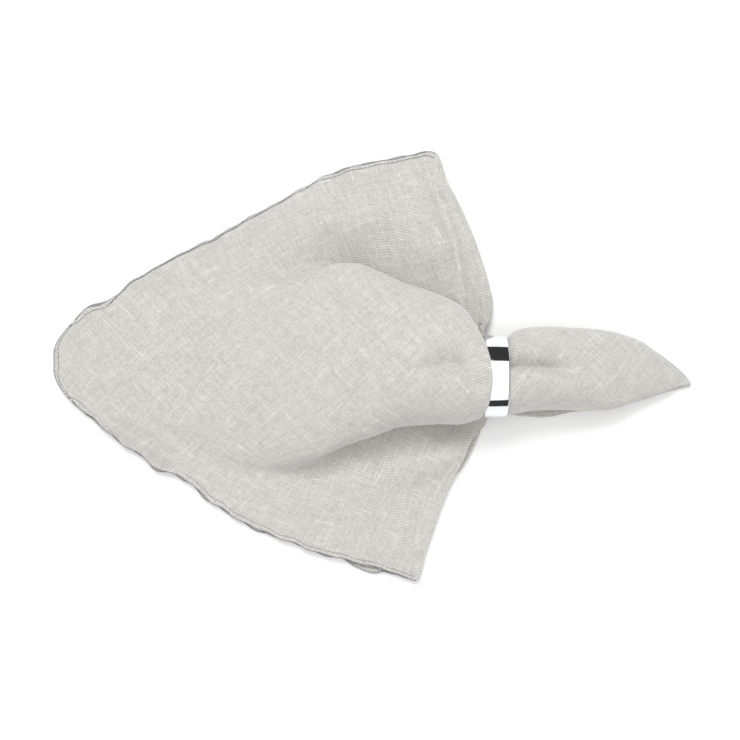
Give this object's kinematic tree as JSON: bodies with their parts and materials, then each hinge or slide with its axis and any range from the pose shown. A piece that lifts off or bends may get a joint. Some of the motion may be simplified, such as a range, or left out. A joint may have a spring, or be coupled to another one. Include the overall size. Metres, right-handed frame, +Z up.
{
  "type": "linen napkin in a ring",
  "caption": "Square linen napkin folded in quarters, its folded centre drawn through a plain metal ring, the hemmed corners fanned out flat.",
  "frame": {"origin": "on the table under the middle of the outline, where the napkin lies", "axes": "+X along the napkin from the free corners to the folded centre that sticks out of the ring, +Z up from the table"},
  "size_m": [0.3387, 0.2328, 0.047],
  "materials": {
    "linen": "plain woven linen with slubs, natural grey beige, matte",
    "ring_metal": "polished plain band"
  },
  "bodies": {
    "root": {"napkin": "linen", "ring": "ring_metal"}
  },
  "joints": []
}
